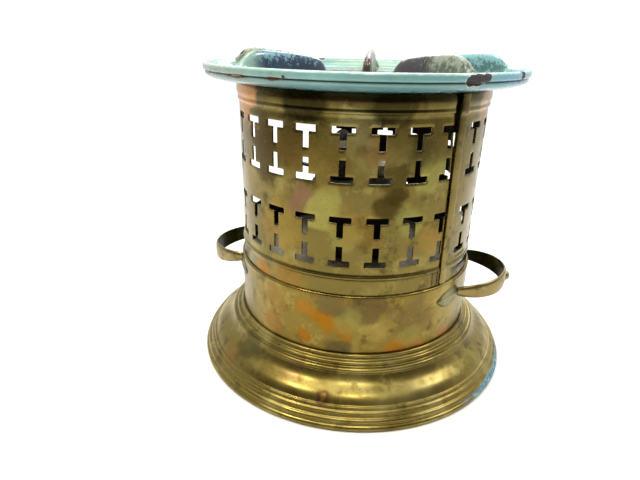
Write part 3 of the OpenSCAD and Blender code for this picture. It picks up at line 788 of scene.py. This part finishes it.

# the band from 154 to 164 mm darkens the collar up to the ring: painted shade under the ring's
# overhang, with soot
brass_gallery = aged_brass("tarnished_rolled_brass", "#90834a", "#6c5f32", "#42381c",
                           GALLERY_STAINS_AND_PAINTED_LIGHT, ([0], [gallery_r]), [(154, 164, 0.75)])
brass_drum = aged_brass("tarnished_spun_brass", "#a2904f", "#7c6930", "#4f4220",
                        DRUM_MARKS, ([0], [drum_out]), low_rough=0.2)
# near-black finish for the inside of the sheet: soot on the inner wall, and painted shade on the
# tab behind the seam gap
soot_and_shade_inside = aged_brass("soot_and_painted_shade_inside_of_brass", "#2b2416", "#17130c", "#0b0906", low_rough=0.45)
wear(gallery, brass_gallery)
gallery.data.materials.append(soot_and_shade_inside)  # Solidify gives the inner wall the second material
wear(drum, brass_drum)
# the folded strip is painted darker towards the top, from 120 mm up
wear(strip, aged_brass("folded_brass_edge", "#9c8b5a", "#746538", "#40371e",
                       darker_towards_top=[(120, 164, 0.5)]))
# the tab behind the seam gap takes the near-black inside finish: painted shade seen through the
# gap, with soot
second_finish(strip, soot_and_shade_inside, lambda face: face >= strip["first_shell"])
wear(lap, aged_brass("solder_stained_brass", "#8f7f50", "#665731", "#352b16", low_rough=0.3))
for piece in bpy.data.objects:
    for ending, tints in FITTINGS.items():
        if piece.name.endswith(ending):
            wear(piece, aged_brass(piece.name + "_brass", *tints, low_rough=0.22))

# painted shade: the hollow inside of each loop, facing the drum, is painted near-black
loop_inside_painted_shade = aged_brass("painted_shade_inside_of_loops", "#7d8476", "#2d302b", "#0d0e0c", low_rough=0.3)
round_strap = STRAP_FRONT + len(STRAP_BACK[0])  # faces round a strap's section
for side in ("right", "left"):
    second_finish(bpy.data.objects[side + "_loop"], loop_inside_painted_shade,
                  lambda face: (face < (STRAP_ROWS - 1) * round_strap)
                  & (face % round_strap >= STRAP_FRONT - 1))

# %% [markdown]
# The foot carries one thing more. Damp has turned the copper in its edge to a blue-green
# crust of verdigris, thickest along the right-hand side, and where it lies the surface is no
# longer metallic.

# %% Foot with verdigris
brass_foot = aged_brass("spun_brass_with_verdigris", "#a89a5e", "#7e6e38", "#4b4020", FOOT_MARKS,
                        ([8, 11, 22, 27], [92, 90.6, 78.6, 74]), low_rough=0.2)
wear(foot, brass_foot)

def verdigris(material):
    """Crust where the azimuth is on the right, z is low and the noise is high."""
    tree = material.node_tree
    principled = tree.nodes["Principled BSDF"]
    here = add(tree, "TexCoord").outputs["Object"]
    mask = nearness(tree, here, 68, foot_r - 1, 3, 78)
    section = section_of(tree, ruffle(tree, here, 5, 1.6))
    for share in (within(tree, section, (foot_r - 0.4, 0, 3.6), 4.0, 1.4),
                  grain(tree, here, 1.5, 6, 0.75)):
        mask = add(tree, "Math", {0: mask, 1: share}, operation="MULTIPLY")
    mask = add(tree, "MapRange", {0: mask, 1: 0.2, 2: 0.34})
    crust = coat(tree, "#4a7f9c", "#8fbfd0", grain(tree, here, 1.0, 4), 0.42, 0.66)
    crust = coat(tree, crust, "#5b4f57", grain(tree, here, 3, 4), 0.5, 0.68, 0.8)
    paint, rough = (principled.inputs[name].links[0].from_socket
                    for name in ("Base Color", "Roughness"))
    paint = coat(tree, paint, crust, mask, 0.1, 0.9, 0.9)
    metal = add(tree, "Math", {0: 1.0, 1: mask}, operation="SUBTRACT", use_clamp=True)
    rough = add(tree, "Math", {0: rough, 1: mask}, operation="MAXIMUM")
    finish_with(principled, paint, rough, metal)

verdigris(brass_foot)

# %% [markdown]
# ## Vitreous enamel on cast iron
# Glass is melted on to the iron, so it is not metallic, it is glossy, and its surface has a
# faint orange peel. The colour is turquoise, burnt darker on some lugs. Knocks have chipped it
# to brown iron at the rim and rust creeps along the groove. The underside is painted darker and
# the groove carries a dark line, both painted shade, and the rim's edge is paler for wear and as
# a painted highlight.

# %% Enamel
def enamel(chips, tints, rust_places):
    """chips: (azimuth, r, z, size mm). rust_places: (azimuth, z, size mm).
    tints: (body hex, worn hex, azimuth, r, size mm, worn share)."""
    material, tree, principled, here = begin("turquoise_vitreous_enamel", Metallic=0.0, IOR=1.52)
    ragged = ruffle(tree, ruffle(tree, here, 8, 2.5), 1.6, 1.0)
    mottle = grain(tree, here, 3, 6, 0.65)
    height = add(tree, "SeparateXYZ", {0: here}).outputs[2]
    section = section_of(tree, here)
    paint = coat(tree, "#7aa8a8", "#94c0bd", grain(tree, here, 18, 4), 0.38, 0.66)
    # broad casts of colour: hex, azimuth, r, z, size mm, high, opacity
    for cast, azimuth, r, z, size, high, most in (("#9aa796", -65, 80, 172, 75, 0.8, 0.7),
                                                  ("#5f9ab4", 62, 85, 171, 60, 0.8, 0.8),
                                                  ("#8fae90", 175, 75, 172, 60, 0.9, 0.7)):
        paint = coat(tree, paint, cast, nearness(tree, ragged, azimuth, r, z, size), 0, high, most)
    # painted shade: the enamel is painted darker from the groove down to the ring's underside
    under = add(tree, "MapRange", {0: height, 1: (ring_z + 4.8) * MM, 2: (ring_z + 2.8) * MM})
    paint = coat(tree, paint, "#446c74", under, most=0.65)
    paint = coat(tree, paint, "#4c7378", mottle, 0.52, 0.72, 0.45)
    fin = add(tree, "Attribute", attribute_name="fin").outputs["Fac"]
    crest = add(tree, "MapRange", {0: height, 1: (crest_z - 8) * MM, 2: crest_z * MM,
                                   3: -0.06, 4: 0.12})
    worn = add(tree, "Math", {0: grain(tree, here, 1.3, 8, 0.74), 1: crest}, operation="ADD")
    for body, pale, azimuth, r, size, share in tints:
        tint = coat(tree, body, pale, worn, 0.66 - 0.28 * share, 0.7 - 0.2 * share, 0.9)
        near = nearness(tree, ragged, azimuth, r, 173, size)
        mask = add(tree, "Math", {0: near, 1: fin}, operation="MULTIPLY")
        paint = coat(tree, paint, tint, mask, 0.04, 0.32)
    # the rim's top edge is painted paler where the noise is high: wear, and a painted highlight
    # along the rim
    rim = within(tree, section, (ring_r - 0.9, 0, rim_z - 0.4), 2.2)
    rim = add(tree, "Math", {0: rim, 1: worn}, operation="MULTIPLY")
    paint = coat(tree, paint, "#c9dfd6", rim, 0.2, 0.5, 0.8)
    # painted shade: a dark line painted along the groove
    groove = within(tree, section, (ring_r - 1.5, 0, ring_z + 5.15), 1.1)
    paint = coat(tree, paint, "#33332a", groove, 0.25, 0.75, 0.85)
    bare = 0.0
    for azimuth, r, z, size in chips:
        chip = nearness(tree, ragged, azimuth, r, z, size)
        bare = add(tree, "Math", {0: chip, 1: bare}, operation="MAXIMUM")
    halo, bare = (add(tree, "MapRange", {0: bare, 1: low, 2: high}, interpolation_type="SMOOTHSTEP")
                  for low, high in ((0.12, 0.22), (0.24, 0.3)))
    fleck = add(tree, "MapRange", {0: grain(tree, here, 2.2, 5, 0.7), 1: 0.73, 2: 0.77, 4: 0.8})
    bare = add(tree, "Math", {0: bare, 1: fleck}, operation="MAXIMUM")
    rust = 0.0
    for azimuth, z, size in rust_places:
        spot = nearness(tree, here, azimuth, ring_r - 0.5, z, size)
        rust = add(tree, "Math", {0: spot, 1: rust}, operation="MAXIMUM")
    for share in (within(tree, section, (ring_r - 1.0, 0, ring_z + 5.1), 1.9),
                  grain(tree, here, 1.5, 5, 0.7)):
        rust = add(tree, "Math", {0: rust, 1: share}, operation="MULTIPLY")
    inside = within(tree, section, (hole_r + 0.5, 0, ring_z + 1.5), 9)
    inside = add(tree, "Math", {0: inside, 1: grain(tree, here, 4, 6, 0.7)}, operation="MULTIPLY")
    paint = coat(tree, paint, "#7d4d2b", inside, 0.25, 0.5, 0.85)
    paint = coat(tree, paint, "#6b3d20", rust, 0.12, 0.26, 0.9)
    iron = coat(tree, "#37313a", "#5d4136", grain(tree, here, 2.2, 5), 0.5, 0.72)
    paint = coat(tree, paint, "#cfe0d4", halo, most=0.55)
    paint = coat(tree, paint, iron, bare)
    rough = add(tree, "MapRange", {0: mottle, 1: 0.4, 2: 0.75, 3: 0.16, 4: 0.36})
    duller = add(tree, "Math", {0: bare, 1: 0.5}, operation="MULTIPLY")
    rough = add(tree, "Math", {0: rough, 1: duller}, operation="ADD", use_clamp=True)
    finish_with(principled, paint, rough, bumps=[(grain(tree, here, 7, 2), 0.25, 0.4),
                (grain(tree, here, 1.4, 3), 0.2, 0.08), (bare, -0.8, 0.3)])
    return material

CHIPS = [(30.8, ring_r, 172.1, 4.0), (33.2, ring_r, 172.0, 4.4), (35.8, ring_r, 172.0, 4.0),
    (56.5, ring_r - 0.4, 173.2, 3.6), (34.6, 82.5, 178.4, 4.6), (34.8, 80.5, 179.6, 3),
    (-21.8, ring_r, 171.0, 1.3), (128, ring_r, 173, 6), (-150, ring_r, 172, 5),
    (200, ring_r - 0.5, 174, 4), (150, 57.5, 167, 5), (-112, 82, 179, 3.4), (250, ring_r, 170.8, 4)]
TINTS = [("#1f3550", "#7ba9ba", -40, 50, 33, 0.5), ("#555c4c", "#98a08f", 32, 64, 34, 0.6),
    ("#2c2725", "#8d9486", 32, 42, 24, 0.3), ("#5f7f80", "#9ccbd3", 104, 60, 36, 0.75),
    ("#4d4038", "#a9a79c", 176, 50, 40, 0.45), ("#7f8474", "#b9bba8", -112, 62, 36, 0.5)]
RUST = [(-40, 170.6, 14), (-26, 170.4, 7), (-62, 170.6, 14), (90, 170.6, 8), (150, 170.6, 12),
    (230, 170.6, 12)]
wear(ring, enamel(CHIPS, TINTS, RUST))

# %% [markdown]
# ## The lamp and the other parts inside
# Sheet iron under worn tin is grey and mottled brown by heat. The wick tube, the lamp's grip
# and the regulator's arm are blued iron, and the filler cap is turned brass that was tinned.
# Tin sets in flat crystals, so cells of slightly different grey make it read as tinplate.

# %% Tinned and blued iron
def tinned_iron(name, pale, body, dark, low_rough, rusty):
    """Crystals of tin as Voronoi cells, brown heat clouds and small rust spots."""
    material, tree, principled, here = begin(name, Metallic=1.0)
    cells = add(tree, "TexVoronoi", {"Vector": ruffle(tree, here, 5, 1.5), "Scale": 130.0})
    cell = add(tree, "SeparateXYZ", {0: cells.outputs["Color"]})
    paint = coat(tree, body, pale, cell.outputs[0], 0.2, 1.0, 0.5)
    paint = coat(tree, paint, dark, grain(tree, here, 9, 6, 0.65), 0.46, 0.7, 0.85)
    paint = coat(tree, paint, "#5c3a1f", grain(tree, here, 3, 6, 0.7), 0.6, 0.74, rusty)
    mottle = grain(tree, here, 2, 5, 0.65)
    rough = add(tree, "MapRange", {0: mottle, 1: 0.35, 2: 0.7, 3: low_rough, 4: low_rough + 0.28})
    finish_with(principled, paint, rough,
                bumps=[(grain(tree, here, 6, 3), 0.3, 0.3), (mottle, 0.25, 0.06)])
    return material

tin_floor = tinned_iron("heat_browned_tinplate", "#a59c88", "#7d7462", "#4b4130", 0.34, 0.45)
tin_lamp = tinned_iron("sooted_tinplate", "#5f5b51", "#38352e", "#1b1916", 0.36, 0.35)
tin_cap = tinned_iron("dull_tinned_brass", "#b0a98f", "#8b8263", "#4f452c", 0.26, 0.15)
blued = tinned_iron("blued_iron", "#4d4f54", "#303236", "#1a1917", 0.3, 0.3)
print("materials so far:", len(bpy.data.materials))

# %% [markdown]
# The wick is braided cotton that has charred at its top, so it has no gloss at all. The washer
# under the cap is oiled leather, and the regulator's knob is beech under worn varnish, which is
# a thin clear coat on the shader.

# %% Cotton, leather and beech
def charred_cotton():
    """Braid as two crossed waves, black above the tube and brown at its mouth."""
    material, tree, principled, here = begin("charred_cotton_wick", Metallic=0.0, Roughness=0.95)
    height = add(tree, "SeparateXYZ", {0: here}).outputs[2]
    across = []
    for turn in (0.6, -0.6):
        turned = add(tree, "Mapping", {"Vector": here, "Rotation": (0, turn, 0.6)})
        across.append(add(tree, "TexWave", {"Vector": turned, "Scale": 115.0, "Distortion": 2.5,
                                            "Detail": 2.0}).outputs[1])
    braid = add(tree, "Math", dict(enumerate(across)), operation="MAXIMUM")
    paint = coat(tree, "#6d5c45", "#b3a284", braid, 0.3, 0.9)
    paint = coat(tree, paint, "#8f8878", height, tube_top * MM, (tube_top + 1) * MM, 0.8)
    paint = coat(tree, paint, "#0c0a08", height, (tube_top + 3.7) * MM, (tube_top + 4.5) * MM)
    paint = coat(tree, paint, "#36332f", grain(tree, here, 1.8, 5, 0.7), 0.6, 0.72, 0.6)
    finish_with(principled, paint, bumps=[(braid, 0.6, 0.3), (grain(tree, here, 0.8, 4), 0.6, 0.3)])
    return material

def leather(name):
    """Pebbles as Voronoi cells about a millimetre across, darker in the creases."""
    material, tree, principled, here = begin(name, Metallic=0.0, Roughness=0.7)
    pebble = add(tree, "TexVoronoi", {"Vector": here, "Scale": 900.0}, feature="DISTANCE_TO_EDGE")
    paint = coat(tree, "#2f1d12", "#6b452b", pebble, 0.0, 0.2)
    paint = coat(tree, paint, "#8a6342", grain(tree, here, 4), 0.5, 0.8, 0.5)
    finish_with(principled, paint, bumps=[(pebble, 0.5, 0.1)])
    return material

def beech(name):
    """Bands of grain along the knob, with short dark flecks, under worn varnish."""
    material, tree, principled, here = begin(name, Metallic=0.0, Coat_Weight=0.25,
                                             Coat_Roughness=0.3)
    along = {"turn": (0, 0, math.radians(34)), "stretch": (1, 5, 5)}
    bands = grain(tree, here, 4, 4, 0.6, 0.5, **along)
    fleck = grain(tree, here, 1.2, 2, **along)
    paint = coat(tree, "#5e3a1e", "#94653a", bands, 0.35, 0.65)
    paint = coat(tree, paint, "#35200f", fleck, 0.62, 0.75, 0.7)
    rough = add(tree, "MapRange", {0: bands, 1: 0.3, 2: 0.7, 3: 0.38, 4: 0.6})
    finish_with(principled, paint, rough, bumps=[(fleck, -0.3, 0.08), (bands, 0.15, 0.06)])
    return material

wear(wick, charred_cotton())
inside = {"floor_plate": tin_floor, "lamp_bowl lamp_lid regulator_sleeve": tin_lamp,
          "wick_tube lamp_grip regulator_arm": blued,
          "grip_rivets filler_neck filler_cap": tin_cap,
          "cap_washer": leather("oiled_leather_washer"),
          "regulator_knob": beech("varnished_beech")}
for nodes, material in inside.items():
    for node in nodes.split():
        wear(frame["nodes"][node], material)
print("materials:", len(bpy.data.materials))

# %% [markdown]
# ## Floor, light and camera
# The stove stands on a pale floor in a bright, plain room. The room is brightest behind and at
# the sides and darker in front, because polished metal shows the room it stands in: that is
# what turns the middle of the brass olive and leaves its flanks pale.

# %% Floor and light
FLOOR_R, FLOOR_POINTS = 0.85, 96  # metres, points round the edge
floor_mesh = bpy.data.meshes.new("floor")
turn = np.linspace(0, 2 * np.pi, FLOOR_POINTS, endpoint=False)
rim = np.stack([FLOOR_R * np.cos(turn), FLOOR_R * np.sin(turn), 0 * turn], -1)
floor_mesh.from_pydata(rim.tolist(), [], [list(range(FLOOR_POINTS))])
floor = bpy.data.objects.new("floor", floor_mesh)
bpy.context.scene.collection.objects.link(floor)
floor_paint, tree, principled, here = begin("pale_floor", Roughness=0.9)
finish_with(principled, coat(tree, "#f4f4f4", "#f8f8f8", grain(tree, here, 60), 0.3, 0.7))
wear(floor, floor_paint)

world = bpy.data.worlds.new("room")
bpy.context.scene.world = world
world.use_nodes = True
tree = world.node_tree
tree.nodes.clear()
xyz = add(tree, "SeparateXYZ", {0: add(tree, "TexCoord").outputs["Generated"]})
back = add(tree, "MapRange", {0: xyz.outputs[1], 1: -0.75, 2: 0.55},
           interpolation_type="SMOOTHSTEP")
room = coat(tree, "#75705f", "#ffffff", back)
room = coat(tree, room, "#b8b4a6", xyz.outputs[2], 0.45, 0.95)
# the camera sees plain white behind the stove; only the metal sees the room
seen = add(tree, "LightPath").outputs["Is Camera Ray"]
power = add(tree, "MapRange", {0: seen, 3: 1.0, 4: 1.05})
sky = add(tree, "Background", {0: coat(tree, room, "#ffffff", seen), 1: power})
add(tree, "OutputWorld", {0: sky})

def lamp_over(name, place, target, size, watts, tint="#ffffff"):
    """A soft area light at `place`, turned to face `target`, both in metres."""
    light = bpy.data.lights.new(name, "AREA")
    light.shape, light.size, light.energy, light.color = "DISK", size, watts, colour(tint)[:3]
    obj = bpy.data.objects.new(name, light)
    away = np.array(place, float) - target
    z = away / np.linalg.norm(away)
    x = np.cross([0, 0, 1.0], z)
    x = x / np.linalg.norm(x)
    turn = Matrix(np.stack([x, np.cross(z, x), z], 1).tolist()).to_4x4()
    obj.matrix_world = Matrix.Translation(place) @ turn
    bpy.context.scene.collection.objects.link(obj)
    print(name, "-", watts, "W")

middle = (0, 0, 0.09)
lamp_over("overhead", (-0.15, 0.1, 1.1), middle, 0.7, 8)
lamp_over("left_window", (-0.46, -0.33, 0.92), middle, 0.15, 3.2, "#fdf8ea")
lamp_over("front_lamp", (0.07, -0.5, 0.98), middle, 0.12, 3.0, "#fffbe8")
lamp_over("right_window", (0.66, 0.02, 0.8), middle, 0.16, 2.8, "#f6f8ff")
lamp_over("back_fill", (0.2, 0.9, 0.7), (0, 0.3, 0), 0.6, 4)

# %% [markdown]
# The camera is near and wide, as in a hand over a table: 27 mm of lens on a 36 mm sensor, a
# little above the stove, looking down, slightly to the left and not quite level.

# %% Camera
EYE = (0.0, -0.28862, 0.18497)
DOWN, TOWARDS_LEFT, ROLL = (math.radians(v) for v in (22.35394, 4.42263, 1.26632))

def look():
    """Axes of the view: yaw about Z, then pitch down, then roll about the line of sight."""
    yaw = Matrix.Rotation(TOWARDS_LEFT, 3, "Z")
    pitch = Matrix.Rotation(-DOWN, 3, "X")
    right, forward, up = np.array(yaw @ pitch).T
    new_right = math.cos(ROLL) * right + math.sin(ROLL) * up
    new_up = -math.sin(ROLL) * right + math.cos(ROLL) * up
    return Matrix(np.stack([new_right, new_up, -forward], 1).tolist()).to_4x4()

camera = bpy.data.objects.new("camera", bpy.data.cameras.new("camera"))
camera.data.lens, camera.data.sensor_width = 27.0, 36.0
camera.data.clip_start = 0.01
camera.matrix_world = Matrix.Translation(EYE) @ look()
bpy.context.scene.collection.objects.link(camera)
bpy.context.scene.camera = camera
print("camera at", EYE)

# %% [markdown]
# Standard colour keeps the hex values as written.

# %% Colour, and the end
bpy.context.scene.view_settings.view_transform = "Standard"
bpy.context.view_layer.update()
